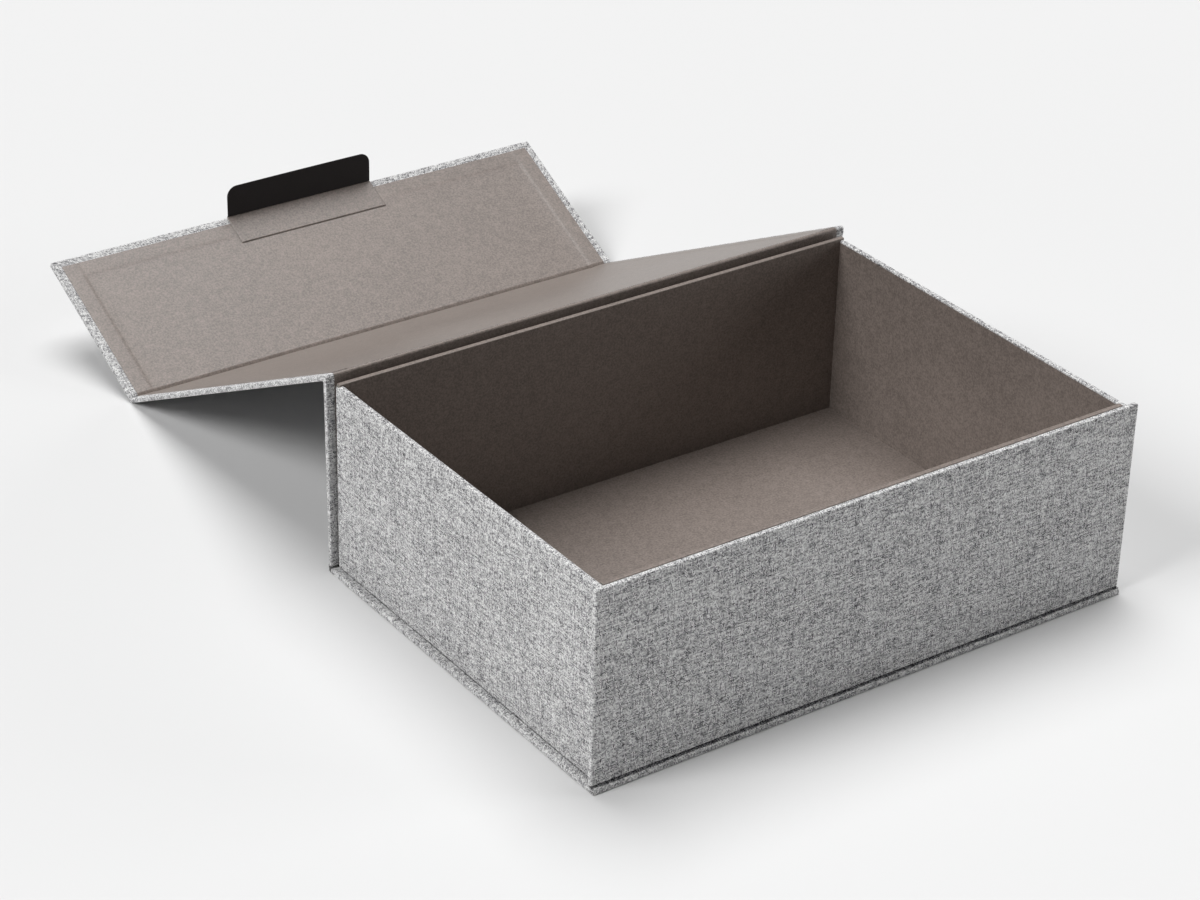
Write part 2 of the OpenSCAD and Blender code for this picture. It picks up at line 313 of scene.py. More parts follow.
def lengths(path):
    """How far along the path each of its points is."""
    total = [0.0]
    for a, b in zip(path, path[1:]):
        total.append(total[-1] + (b - a).length)
    return total


def wobble(x, y, seed, wave, depth):
    """A slow, seeded unevenness, with the length and the depth of its waves."""
    return depth * noise.noise(Vector((x / wave, y / wave, seed)))


def ride(piece, body, slot, *nodes):
    """Puts a piece on its body, in place of CAD nodes. Its slot is not used."""
    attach(piece, body)
    if nodes:
        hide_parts(*nodes)
    return piece


# ---- Materials ----

class Nodes:
    """A material's node tree with short calls for the nodes used here."""

    def __init__(self, name):
        self.material = bpy.data.materials.new(name)
        self.material.use_nodes = True
        self.tree = self.material.node_tree
        self.shader = self.tree.nodes["Principled BSDF"]

    def node(self, kind, settings=(), **inputs):
        """Adds a node. Inputs are values or outputs, by name, or by number as i0, i1 and so on."""
        made = self.tree.nodes.new(kind)
        for key, value in dict(settings).items():
            setattr(made, key, value)
        for key, value in inputs.items():
            socket = made.inputs[int(key[1:])] if key[1:].isdigit() else made.inputs[key]
            self.set(socket, value)
        return made

    def set(self, socket, value):
        """Links an output to a socket, or sets the socket's own value."""
        if isinstance(value, bpy.types.NodeSocket):
            self.tree.links.new(value, socket)
        else:
            socket.default_value = value

    def math(self, operation, a, b=0.0, c=0.0):
        """The result of one Math node."""
        made = self.node("ShaderNodeMath", {"operation": operation}, i0=a, i1=b, i2=c)
        return made.outputs[0]

    def place(self):
        """The point's own place on its object, in metres."""
        return self.node("ShaderNodeTexCoord").outputs["Object"]

    def vector(self, x, y, z=0.0):
        """A vector made of three numbers."""
        return self.node("ShaderNodeCombineXYZ", X=x, Y=y, Z=z).outputs[0]

    def noise(self, vector, scale, detail=2.0, roughness=0.5):
        """Smooth noise, about 0.5 on average, with a scale in cells per metre."""
        made = self.node("ShaderNodeTexNoise", Vector=vector, Scale=scale, Detail=detail,
                         Roughness=roughness)
        return made.outputs[0]

    def spread(self, value, low, high, to_low=0.0, to_high=1.0):
        """The value's stretch from low to high brought to a new range."""
        made = self.node("ShaderNodeMapRange", i0=value, i1=low, i2=high, i3=to_low, i4=to_high)
        return made.outputs[0]

    def from_noise(self, value, to_low, to_high):
        """Brings noise, most of which lies between 0.3 and 0.7, to a new range."""
        return self.spread(value, 0.3, 0.7, to_low, to_high)

    def sway(self, value, reach):
        """Brings a value between 0 and 1 to a range from minus to plus a reach."""
        return self.spread(value, 0.0, 1.0, -reach, reach)

    def blend(self, factor, a, b):
        """A mix of two numbers."""
        return self.node("ShaderNodeMix", {"data_type": "FLOAT"}, i0=factor, i2=a, i3=b).outputs[0]

    def ramp(self, value, *stops):
        """A colour ramp of (position, colour) stops."""
        made = self.node("ShaderNodeValToRGB", Fac=value)
        points = made.color_ramp.elements
        while len(points) < len(stops):
            points.new(0.5)
        for point, (position, colour) in zip(points, stops):
            point.position = position
            point.color = (*colour, 1)
        return made.outputs[0]

    def bump(self, height, distance, strength=1.0):
        """Bumps the shader's normal by a height between 0 and 1."""
        made = self.node("ShaderNodeBump", Height=height, Distance=distance, Strength=strength)
        self.set(self.shader.inputs["Normal"], made.outputs[0])

    def finish(self, colour, roughness, specular=0.3, **more):
        """Connects the shader's colour and roughness, and sets its constants."""
        self.set(self.shader.inputs["Base Color"], colour)
        self.set(self.shader.inputs["Roughness"], roughness)
        self.shader.inputs["Specular IOR Level"].default_value = specular
        for key, value in more.items():
            self.shader.inputs[key.replace("_", " ")].default_value = value
        return self.material


THREAD_PITCH = 0.66 * MM
THREAD_SLACK = 0.7 * MM    # how far the threads stray from straight
YARN_RUN = 0.14            # changes of tone along a thread, per thread's width
YARN_APART = 900.0         # sets the threads apart in the noise, so that each has its own run
WEAR_AND_LIGHT_TONE = 0.05              # how far the cloth's tone moves with its mark: paler along edges for rubbed wear and painted highlight, darker in grooves for painted shade
GROOVE_SHADE = -7.0               # the mark's value in a groove: painted shade, which darkens the cloth there
WARP_TONES = (0.30, 0.86)  # darkest and palest tone of the threads along the strip,
WEFT_TONES = (0.12, 0.80)  # and of the threads across it
WEFT_SHARE = (0.24, 0.80)  # the weft's part of the colour where it lies under, and where over
YARN_SHADING_TONES = (-0.46, 0.14)  # painted shade added in the gaps between threads, and painted highlight along a thread's middle
LIGHT_YARN = (0.90, 0.90, 0.885)
GREY_YARN = (0.50, 0.495, 0.505)
DARK_YARN = (0.035, 0.034, 0.038)


def yarn_tone(nodes, number, along, seed):
    """One set of threads: every thread has its own slow run of pale and charcoal fibre."""
    own = nodes.node("ShaderNodeTexWhiteNoise", {"noise_dimensions": "1D"},
                     W=nodes.math("ADD", number, seed)).outputs[0]
    place = nodes.vector(nodes.math("MULTIPLY", own, YARN_APART), along, seed)
    run = nodes.noise(place, YARN_RUN, detail=1.0)
    return nodes.math("ADD", run, nodes.sway(own, 0.06))


def roundness(nodes, place):
    """A thread's height: 0 in the gap at either side of it and 1 along its middle."""
    return nodes.math("ABSOLUTE", nodes.math("SINE", nodes.math("MULTIPLY", place, math.pi)))


def bookcloth(name):
    """Linen woven from mixed white and charcoal yarns, painted paler along the edges as rubbed wear
    and highlight, with painted shade in grooves.
    """
    nodes = Nodes(name)
    place = nodes.node("ShaderNodeUVMap", {"uv_map": "threads"}).outputs[0]
    bent = nodes.node("ShaderNodeTexNoise", Vector=place, Scale=45.0, Detail=1.0).outputs[1]
    pull = nodes.node("ShaderNodeVectorMath", {"operation": "MULTIPLY_ADD"}, i0=bent,
                      i1=(THREAD_SLACK, THREAD_SLACK, 0.0), i2=place).outputs[0]
    parts = nodes.node("ShaderNodeSeparateXYZ", Vector=pull)
    u = nodes.math("DIVIDE", parts.outputs[0], THREAD_PITCH)
    v = nodes.math("DIVIDE", parts.outputs[1], THREAD_PITCH)
    u_number = nodes.math("FLOOR", u)
    v_number = nodes.math("FLOOR", v)

    # the thread that lies over the other at a crossing shows most, and the other shows through
    over = nodes.math("FLOORED_MODULO", nodes.math("ADD", u_number, v_number), 2.0)
    warp = nodes.from_noise(yarn_tone(nodes, u_number, v, 3.0), *WARP_TONES)
    weft = nodes.from_noise(yarn_tone(nodes, v_number, u, 11.0), *WEFT_TONES)
    woven = nodes.blend(nodes.spread(over, 0.0, 1.0, *WEFT_SHARE), warp, weft)

    # painted shade in the gaps between threads and painted highlight along their middles, and no two
    # crossings are quite the same
    round_yarn = nodes.blend(over, roundness(nodes, u), roundness(nodes, v))
    woven = nodes.math("ADD", woven, nodes.spread(round_yarn, 0.0, 0.8, *YARN_SHADING_TONES))
    crossing = nodes.node("ShaderNodeTexWhiteNoise", {"noise_dimensions": "2D"},
                          Vector=nodes.vector(u_number, v_number)).outputs[0]
    woven = nodes.math("ADD", woven, nodes.sway(crossing, 0.30))

    # fine fibres, slow clouds, and the mark: rubbed wear and painted highlight along edges, painted
    # shade in grooves
    fleck = nodes.from_noise(nodes.noise(place, 2400.0, detail=1.0), -0.10, 0.10)
    cloud = nodes.from_noise(nodes.noise(place, 28.0), -0.02, 0.02)
    tone = nodes.math("ADD", nodes.math("ADD", woven, fleck), cloud)
    wear_and_painted_light = nodes.node("ShaderNodeAttribute", {"attribute_name": "wear_and_painted_light"}).outputs["Fac"]
    tone = nodes.math("MULTIPLY_ADD", wear_and_painted_light, WEAR_AND_LIGHT_TONE, tone)

    colour = nodes.ramp(tone, (0.10, DARK_YARN), (0.5, GREY_YARN), (0.92, LIGHT_YARN))
    nodes.bump(nodes.math("MULTIPLY_ADD", fleck, 0.5, round_yarn), 0.16 * MM, 0.7)
    roughness = nodes.spread(tone, 0.0, 1.0, 0.92, 0.8)
    return nodes.finish(colour, roughness, specular=0.2, Sheen_Weight=0.12, Sheen_Roughness=0.5)


def lining_paper(name, pale, deep):
    """Taupe lining paper with a fine fibre mottle and a soft sheen."""
    nodes = Nodes(name)
    place = nodes.place()
    fibre = nodes.noise(place, 850.0, detail=3.0, roughness=0.7)
    felt = nodes.noise(place, 190.0, detail=3.0, roughness=0.6)
    cloud = nodes.noise(place, 12.0)
    mottle = nodes.math("ADD", nodes.from_noise(felt, 0.0, 0.24), nodes.from_noise(cloud, 0.0, 0.14))
    tone = nodes.math("ADD", nodes.spread(fibre, 0.36, 0.64, 0.0, 0.62), mottle)
    colour = nodes.ramp(tone, (0.15, deep), (0.85, pale))
    nodes.bump(nodes.math("MULTIPLY_ADD", felt, 0.8, fibre), 0.01 * MM, 0.6)
    return nodes.finish(colour, nodes.from_noise(cloud, 0.36, 0.40), specular=0.5)


def greyboard(name):
    """Dense grey pulp board with darker and paler fibres and rough cut edges."""
    nodes = Nodes(name)
    place = nodes.place()
    pulp = nodes.noise(place, 700.0, detail=5.0, roughness=0.75)
    speck = nodes.noise(place, 2600.0)
    tone = nodes.math("MULTIPLY_ADD", speck, 0.35, nodes.math("MULTIPLY", pulp, 0.8))
    colour = nodes.ramp(tone, (0.35, (0.13, 0.12, 0.105)), (0.6, (0.25, 0.235, 0.21)),
                        (0.8, (0.36, 0.34, 0.30)))
    nodes.bump(pulp, 0.1 * MM, 0.7)
    return nodes.finish(colour, nodes.from_noise(speck, 0.85, 0.97), specular=0.2)


def black_card(name):
    """Through-dyed black card, matt, with a faint paler fibre."""
    nodes = Nodes(name)
    place = nodes.place()
    fibre = nodes.noise(place, 1800.0, detail=4.0, roughness=0.7)
    felt = nodes.noise(place, 120.0, detail=3.0)
    tone = nodes.math("MULTIPLY_ADD", felt, 0.4, nodes.math("MULTIPLY", fibre, 0.6))
    colour = nodes.ramp(tone, (0.3, (0.013, 0.0115, 0.0118)), (0.75, (0.030, 0.026, 0.027)))
    nodes.bump(fibre, 0.04 * MM, 0.6)
    return nodes.finish(colour, nodes.from_noise(felt, 0.62, 0.75), specular=0.3)


def plated_steel(name):
    """Nickel-plated discs with a fine brushed grain."""
    nodes = Nodes(name)
    place = nodes.place()
    stretched = nodes.node("ShaderNodeMapping", i0=place, i3=(200.0, 6000.0, 6000.0)).outputs[0]
    grain = nodes.noise(stretched, 1.0, detail=3.0)
    colour = nodes.ramp(grain, (0.3, (0.48, 0.47, 0.45)), (0.7, (0.66, 0.65, 0.62)))
    return nodes.finish(colour, nodes.from_noise(grain, 0.25, 0.4), specular=0.5, Metallic=1.0)


def adhesive_tape(name):
    """Pale double-sided tape with a slightly uneven film."""
    nodes = Nodes(name)
    place = nodes.place()
    film = nodes.noise(place, 220.0, detail=3.0)
    colour = nodes.ramp(film, (0.3, (0.70, 0.66, 0.56)), (0.7, (0.82, 0.79, 0.70)))
    nodes.bump(film, 0.05 * MM, 0.5)
    return nodes.finish(colour, nodes.from_noise(film, 0.35, 0.5), specular=0.4)


def pale_floor(name):
    """The plain pale floor, very slightly uneven."""
    nodes = Nodes(name)
    place = nodes.place()
    cloud = nodes.noise(place, 1.5)
    colour = nodes.ramp(cloud, (0.3, (0.690, 0.690, 0.690)), (0.7, (0.700, 0.700, 0.700)))
    return nodes.finish(colour, 0.9, specular=0.1)


LINEN = bookcloth("linen_bookcloth")
PAPER = lining_paper("taupe_lining_paper", pale=(0.270, 0.226, 0.201), deep=(0.150, 0.125, 0.111))
PATCH_PAPER = lining_paper("taupe_patch_paper", pale=(0.250, 0.209, 0.186),
                           deep=(0.139, 0.116, 0.103))
BOARD = greyboard("greyboard")
CARD = black_card("black_tab_card")
STEEL = plated_steel("plated_steel")
TAPE = adhesive_tape("adhesive_tape")


# ---- The case: panels in the order of the strip ----

def leaning(angle):
    """A direction in the YZ plane, at an angle above +Y."""
    return Vector((0, math.cos(angle), math.sin(angle)))


# where the front's and the base's weave lie on the strip, clear of the other panels'
FRONT_RUN = 0.9
BASE_RUN = 0.5

front_lo, front_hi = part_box("front_cloth")
front = Panel((0, (front_lo.y + front_hi.y) / 2, 0), (0, 0, 1), "case", FRONT_RUN, across=-X_AXIS)
base = Panel((0, 0, HALF_T), (0, 1, 0), "case", BASE_RUN)
spine = Panel(SPINE_FOOT, leaning(math.pi / 2 - SPINE_LEAN), "case", -SPINE_LEN)
lid = Panel(HINGE, leaning(-LID_SLOPE), "lid", 0.0)
flap = Panel(FOLD, leaning(FLAP_RISE), "flap", LID_LEN)
flap_fold = Fold(lid, flap, LID_LEN, BEND_R)
crease_place = CREASE - FOLD
CREASE_Y = crease_place.dot(flap.along)
CREASE_N = crease_place.dot(flap.inward)
card_lo, card_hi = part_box("tab_leaf")
CARD_T = card_hi.y - card_lo.y
FLAP_LEN = CREASE_Y + CARD_T / 2


def cloth_section(pressed):
    """A covered edge in section, from the turned-in end round to the outer face.

    Each entry is the shown point and the board-side point, as (inset, n), the inset of the same
    place in the flat cloth, and its edge mark of rubbed wear and painted highlight.
    """
    shown = rounded([(TURN_IN, HALF_T - pressed), (BORDER + PRESS_W, HALF_T - pressed),
                     (BORDER, HALF_T), (PALE_EDGE_W, HALF_T), (0, HALF_T), (0, -HALF_T),
                     (PALE_EDGE_W, -HALF_T), (FACE_INSET, -HALF_T)], EDGE_R)
    flat = [FACE_INSET + along - lengths(shown)[-1] for along in lengths(shown)]
    section = []
    for point, unrolled in zip(shown, flat):
        board = Vector((max(point.x, CLOTH_T),
                        min(max(point.y, CLOTH_T - HALF_T), HALF_T - PAPER_T)))
        # points on the edge get the mark: rubbed wear and painted highlight
        wear_light_mark = 1.0 if point.x < EDGE_R + HAIR else 0.0
        section.append((point, board.lerp(point, OFF_BOARD), unrolled, wear_light_mark))
    return section


def wrapped_cloth(name, place, run, stations, body, *nodes):
    """Cloth on a panel or fold that is covered at its two sides and runs on at both ends."""
    skin = Skin()
    rows = []
    section = cloth_section(PRESSED)
    sides = [(-1, entry) for entry in section] + [(1, entry) for entry in reversed(section)]
    for y in stations:
        row = []
        for side, (shown, board, flat, wear_light_mark) in sides:
            outer = place(side * (HALF_W - shown.x), y, shown.y)
            inner = place(side * (HALF_W - board.x), y, board.y)
            row.append(skin.add(outer, inner, (side * (HALF_W - flat), run + y), wear_light_mark))
        rows.append(row)
    skin.grid(rows)
    return ride_or_wait(skin.build(name, LINEN), body, "bookcloth", *nodes)


def ride_or_wait(piece, body, slot, *nodes):
    """Rides a piece, or, without a body, only hides its CAD nodes."""
    if body:
        return ride(piece, body, slot, *nodes)
    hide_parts(*nodes)
    return piece


def outline(y0, y1, inset, near_free):
    """A panel's outline moved in by an inset, from the near left corner to the near right."""
    x1 = HALF_W - inset
    low = y0 + inset if near_free else y0
    high = y1 - inset
    corners = [(-x1, low), (-x1, high), (x1, high), (x1, low)]
    return rounded(corners, max(CORNER_R - inset, SMALL_R), near_free, line_steps=10)


def enclosed_cloth(name, panel, y0, y1, near_free, pressed, *nodes):
    """Cloth on a panel that is covered along its far end too, and its near end if that is free."""
    skin = Skin()
    rows = []
    for shown, board, flat, wear_light_mark in cloth_section(pressed):
        rings = [outline(y0, y1, inset, near_free) for inset in (shown.x, board.x, flat)]
        row = []
        for out, hid, thread in zip(*rings):
            row.append(skin.add(panel.point(*out, shown.y), panel.point(*hid, board.y),
                                (thread.x, panel.run + thread.y), wear_light_mark))
        rows.append(row)
    skin.grid(rows, closed=near_free)
    skin.faces.append(tuple(rows[-1]))
    return ride(skin.build(name, LINEN), panel.body, "bookcloth", *nodes)


def banded(first, last, ridges, step=PAPER_STEP):
    """Stations from first to last, closer together across each ridge."""
    marks = [first, last]
    for ridge in ridges:
        marks += [ridge + RIDGE_W * part for part in (-0.5, -0.25, 0.0, 0.25, 0.5)]
    marks = sorted(mark for mark in marks if first <= mark <= last)
    stations = [marks[0]]
    for mark in marks[1:]:
        stations += spread(stations[-1], mark, step)[1:]
    return stations


def lining(name, place, run, y0, y1, far_edge, body, *nodes, calm=None, step=PAPER_STEP):
    """Lining paper on a panel. It shows the edge of the turned-in cloth under it as a ridge."""
    turned_in = HALF_W - TURN_IN
    xs = banded(BORDER - HALF_W, HALF_W - BORDER, (-turned_in, turned_in))
    ys = banded(y0, y1, (far_edge - TURN_IN,) if far_edge else (), step)
    seed = len(name)

    def point(x, y):
        """The paper's two faces at one place, lower where there is no cloth under it."""
        down = smooth((HALF_W - abs(x) - TURN_IN) / RIDGE_W + 0.5)
        if far_edge:
            down *= 0.5 + 0.5 * smooth((far_edge - y - TURN_IN) / RIDGE_W + 0.5)
        level = RIDGE_UP - (RIDGE_UP + RIDGE_DOWN) * down
        if calm:
            level *= calm(x, y)
        n = HALF_T + level + wobble(x, y, seed, *PANEL_WAVES) * down
        return place(x, y, n), place(x, y, n - PAPER_SKIN), (x, run + y)

    skin = Skin()
    skin.sheet(xs, ys, point)
    return ride_or_wait(skin.build(name, PAPER), body, "lining_paper", *nodes)


def bar(skin, path, depth, xs, across=False, run=0.0, wear_and_painted_light=0.0):
    """Adds a layer that follows a 2-D path and runs on straight, with the depth to its right.

    The path is in (y, z) and runs on along X, or in (x, z) and runs on along Y.
    """
    under = offset(path, depth)
    rows = []
    for shown, hid, along in zip(path, under, lengths(path)):
        row = []
        for x in xs:
            if across:
                ends = Vector((shown.x, x, shown.y)), Vector((hid.x, x, hid.y))
            else:
                ends = Vector((x, shown.x, shown.y)), Vector((x, hid.x, hid.y))
            row.append(skin.add(*ends, (x, run + along), wear_and_painted_light))
        rows.append(row)
    skin.grid(rows)


def bead(name, centre, radius, half_w, material):
    """A round cord of cloth or card along X, with rounded ends."""
    sides = 14
    # how far in from the end, and how thick, as shares of the radius
    ends = [(0.0, 0.45), (0.25, 0.8), (0.7, 1.0)]
    spots = [(radius * a - half_w, radius * r) for a, r in ends]
    spots += [(x, radius) for x in spread(-half_w, half_w, 20 * MM)[1:-1]]
    spots += [(half_w - radius * a, radius * r) for a, r in reversed(ends)]
    points = []
    threads = []
    for x, r in spots:
        for side in range(sides):
            turn = 2 * math.pi * side / sides
            points.append(centre + Vector((x, r * math.cos(turn), r * math.sin(turn))))
            threads.append((x, radius * turn))
    faces = []
    for ring in range(len(spots) - 1):
        for side in range(sides):
            near = ring * sides + side
            next_near = ring * sides + (side + 1) % sides
            faces.append((near, next_near, next_near + sides, near + sides))
    faces.append(tuple(range(sides)))
    faces.append(tuple(range(len(points) - sides, len(points))))
    return mesh_object(name, points, faces, threads, [0.0] * len(points), material)


def plate(name, panel, outline_points, x0, x1, material):
    """A small closed plate across a panel, with an outline of (along, inward) points."""
    count = len(outline_points)
    points = [panel.point(x, y, n) for x in (x0, x1) for y, n in outline_points]
    faces = [tuple(range(count)), tuple(range(2 * count - 1, count - 1, -1))]
    faces += [(i, i + count, (i + 1) % count + count, (i + 1) % count) for i in range(count)]
    threads = [(n, panel.run + y) for y, n in outline_points] * 2
    return mesh_object(name, points, faces, threads, [0.5] * len(points), material)


def make_base():
    """The base: its covered board, and the cloth joints along its front and back."""
    enclosed_cloth("base_bookcloth", base, base_lo.y, base_hi.y, True, HAIR, "base_cloth")
    full = spread(-HALF_W + HAIR, HALF_W - HAIR, CLOTH_STEP)

    # the groove: in over the base's front edge, and up to the foot of the front panel
    thick = 0.3 * MM
    edge_w = 1.2 * MM
    overlap = 0.1 * MM
    bend_r = 0.35 * MM
    back = front.origin.y - CLOTH_T
    groove = Skin()
    path = rounded([(base_lo.y + edge_w, PANEL_T + thick), (back, PANEL_T + SHEET_T),
                    (back, front_lo.z + overlap)], bend_r)
    # the groove's cloth carries painted shade
    bar(groove, path, thick, full, wear_and_painted_light=GROOVE_SHADE)
    ride(groove.build("front_groove_cloth", LINEN), "case", "bookcloth", "front_joint_cloth")

    # the heel: round from the base's underside to the spine's outer face
    heel = Skin()
    path = arc(SPINE_FOOT, HALF_T - HAIR, -math.pi / 2, -SPINE_LEAN)
    path.insert(0, Vector((base_hi.y - HAIR, path[0].y)))
    top = spine.point(0, JOINT_HALF, HAIR - HALF_T)
    path.append(Vector((top.y, top.z)))
    bar(heel, path, -SHEET_T, full, run=spine.run)
    ride(heel.build("spine_heel_cloth", LINEN), "case", "bookcloth", "spine_joint_cloth")


def make_front():
    """The front panel: cloth outside, with its foot open at the groove, and paper inside."""
    enclosed_cloth("front_bookcloth", front, front_lo.z, front_hi.z, False, PRESSED, "front_cloth")
    lining("front_lining", front.point, front.run, front_lo.z, front_hi.z - BORDER, front_hi.z,
           "case", "front_liner")


def make_spine():
    """The spine, from the heel up to the lid's hinge line."""
    end = SPINE_LEN - TUCK
    wrapped_cloth("spine_bookcloth", spine.point, spine.run, spread(JOINT_HALF, end, CLOTH_STEP),
                  "case", "spine_cloth")
    lining("spine_lining", spine.point, spine.run, JOINT_HALF, SPINE_LEN, None, "case",
           "spine_liner")


def make_lid():
    """The lid, from the hinge line to the flap's fold."""
    end = LID_LEN - JOINT_HALF
    wrapped_cloth("lid_bookcloth", lid.point, lid.run, spread(JOINT_HALF, end, CLOTH_STEP),
                  "lid", "lid_cloth")
    lining("lid_lining", lid.point, lid.run, 0.0, end, None, "lid", "lid_liner")


def make_flap():
    """The flap, from its fold to its free edge."""
    enclosed_cloth("flap_bookcloth", flap, JOINT_HALF, FLAP_LEN, False, PRESSED, "flap_cloth")

    def calm(x, y):
        """How much of the ridge shows: none of it where the tab's card is pasted down."""
        fade = 4 * MM
        aside = smooth((abs(x) - TAB_HALF_W) / fade)
        before = smooth((ROOT_Y0 - y) / fade)
        return max(aside, before)

    lining("flap_lining", flap.point, flap.run, JOINT_HALF, FLAP_LEN - BORDER, FLAP_LEN,
           "flap", "flap_liner", calm=calm)


def make_flap_fold():
    """The cloth and paper that bend between lid and flap."""
    stations = spread(-JOINT_HALF, JOINT_HALF, FOLD_STEP)
    cloth = wrapped_cloth("flap_fold_bookcloth", flap_fold.point, flap_fold.run, stations,
                          None, "flap_hinge_cloth")
    paper = lining("flap_fold_lining", flap_fold.point, flap_fold.run, -JOINT_HALF, JOINT_HALF,
                   None, None, "flap_hinge_liner", step=FOLD_STEP)
    reach = 0.7 * JOINT_HALF
    start = lid.point(0, LID_LEN - reach, 0)
    end = flap.point(0, reach, 0)
    for piece in (cloth, paper):
        tuple(start)
        tuple(end)
        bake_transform(piece)


def make_lid_hinge():
    """The lid's hinge. Arcs on the lid and on the spine slide past each other inside the fold."""
    paper_half = HALF_W - BORDER
    cloth_half = HALF_W - CAP_W
    full = spread(-cloth_half, cloth_half, CLOTH_STEP)

    # directions round the hinge line, as angles above +Y: the lid's lining and cover, and the spine's
    lining_way = math.pi / 2 - LID_SLOPE
    cover_way = lining_way - math.pi
    spine_in = math.pi - SPINE_LEAN
    spine_out = -SPINE_LEAN

    # both of the lid's arcs reach on, in behind what they slide past
    lining_end = spine_in + math.radians(36)
    cover_start = cover_way - math.radians(33)

    # on the lid: paper over the crest, cloth at both ends of it, and cloth below
    crest = Skin()
    bar(crest, arc(HINGE, HALF_T - RIDGE_DOWN, lining_way, lining_end), -PAPER_SKIN,
        spread(-paper_half, paper_half, PAPER_STEP))
    ride(crest.build("hinge_lining", PAPER), "lid", "lining_paper", "lid_hinge_liner")
    strips = Skin()
    for side in (-1, 1):
        path = arc(HINGE, HALF_T - HAIR, lining_way, lining_end)
        first = lid.point(0, JOINT_HALF, HALF_T - HAIR)
        path.insert(0, Vector((first.y, first.z)))
        bar(strips, path, -CLOTH_T, sorted((side * paper_half, side * cloth_half)))
    under = arc(HINGE, HALF_T - HAIR, cover_start, cover_way)
    last = lid.point(0, JOINT_HALF, HAIR - HALF_T)
    under.append(Vector((last.y, last.z)))
    bar(strips, under, -SHEET_T, full, run=lid.run)
    ride(strips.build("hinge_lid_bookcloth", LINEN), "lid", "bookcloth", "lid_hinge_cloth")

    # on the spine: cloth up its outer face and over, and a core that fills the hollow
    back = Skin()
    path = arc(HINGE, HALF_T - 2 * HAIR, spine_out, lining_way)
    first = spine.point(0, SPINE_LEN - JOINT_HALF, 2 * HAIR - HALF_T)
    path.insert(0, Vector((first.y, first.z)))
    bar(back, path, -SHEET_T, full, run=-JOINT_HALF)
    ride(back.build("hinge_spine_bookcloth", LINEN), "case", "bookcloth")
    ride(bead("hinge_core_bookcloth", HINGE, HALF_T - CLOTH_T - 3 * HAIR, cloth_half, LINEN),
         "case", "bookcloth")


def make_hinge_ends():
    """The folded-in cloth that closes both ends of the lid's hinge, on the spine and on the lid."""
    radius = HALF_T - HAIR
    turns = spread(0.0, math.pi, math.pi / 14)

    # the cap on the spine is rounded over the hinge line
    crown = [(SPINE_LEN + radius * math.sin(turn), radius * math.cos(turn)) for turn in turns]
    cap = [(SPINE_LEN - JOINT_HALF, radius), *crown, (SPINE_LEN - JOINT_HALF, -radius)]

    # the lap on the lid is hollowed out round the cap over a quarter turn
    clear = radius + HAIR
    quarter = turns[:len(turns) // 2 + 1]
    hollow = [(clear * math.sin(turn), clear * math.cos(turn)) for turn in quarter]
    tip = 0.85 * JOINT_HALF
    lap = [(JOINT_HALF, radius), *hollow, (tip, -radius), (JOINT_HALF, -radius)]

    for side, word in ((-1, "left"), (1, "right")):
        near = side * (HALF_W - CAP_W)
        cap_plate = plate("hinge_" + word + "_cap_bookcloth", spine, cap, near,
                          side * (HALF_W - HAIR), LINEN)
        ride(cap_plate, "case", "bookcloth")
        lap_plate = plate("hinge_" + word + "_lap_bookcloth", lid, lap, near,
                          side * (HALF_W - 2 * HAIR), LINEN)
        ride(lap_plate, "lid", "bookcloth")


def make_side_wall(side, name):
    """A side wall of the tray: cloth outside and over its top, paper inside."""
    lo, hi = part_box(name + "_cloth")
    liner_lo, liner_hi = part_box(name + "_liner")
    out_x = lo.x if side < 0 else hi.x
    in_x = hi.x if side < 0 else lo.x
    into_board = -side       # turns a layer's depth to the board's side of its path
    foot = lo.z + FOOT_GAP
    foot_in = 2 * EDGE_R
    over_top = 2 * MM
    cover = Skin()
    path = rounded([(out_x - side * foot_in, foot), (out_x, foot), (out_x, hi.z),
                    (in_x, hi.z), (in_x, hi.z - over_top)], EDGE_R, line_steps=3)
    bar(cover, path, SHEET_T * into_board, spread(lo.y, liner_hi.y, CLOTH_STEP), across=True)

    # the dark line under the cloth: a shallow groove whose cloth carries painted shade
    groove_x = out_x - side * FOOT_RECESS
    groove_t = 0.08 * MM
    overlap = 0.1 * MM
    groove = [Vector((groove_x, lo.z + HAIR)), Vector((groove_x, foot + overlap))]
    bar(cover, groove, groove_t * into_board, (lo.y, liner_hi.y), across=True, wear_and_painted_light=GROOVE_SHADE)

    # the cloth runs on past the board to the spine
    end_strip = [Vector((out_x, z)) for z in spread(lo.z, hi.z - EDGE_R, CLOTH_STEP)]
    bar(cover, end_strip, SHEET_T * into_board, (liner_hi.y + HAIR, hi.y), across=True)
    ride(cover.build(name + "_bookcloth", LINEN), "case", "bookcloth", name + "_cloth")

    paper_top = hi.z - 1.2 * MM
    proud = 0.03 * MM

    def point(y, z):
        """The paper's two faces at one place on the wall."""
        face = in_x + side * wobble(y, z, side, *WALL_WAVES) - side * proud
        return Vector((face, y, z)), Vector((face + side * PAPER_SKIN, y, z)), (y, z)

    ys = spread(liner_lo.y, liner_hi.y, PAPER_STEP)
    zs = spread(liner_lo.z, paper_top, PAPER_STEP)
    inside = Skin()
    inside.sheet(ys, zs, point)
    ride(inside.build(name + "_lining", PAPER), "case", "lining_paper", name + "_liner")


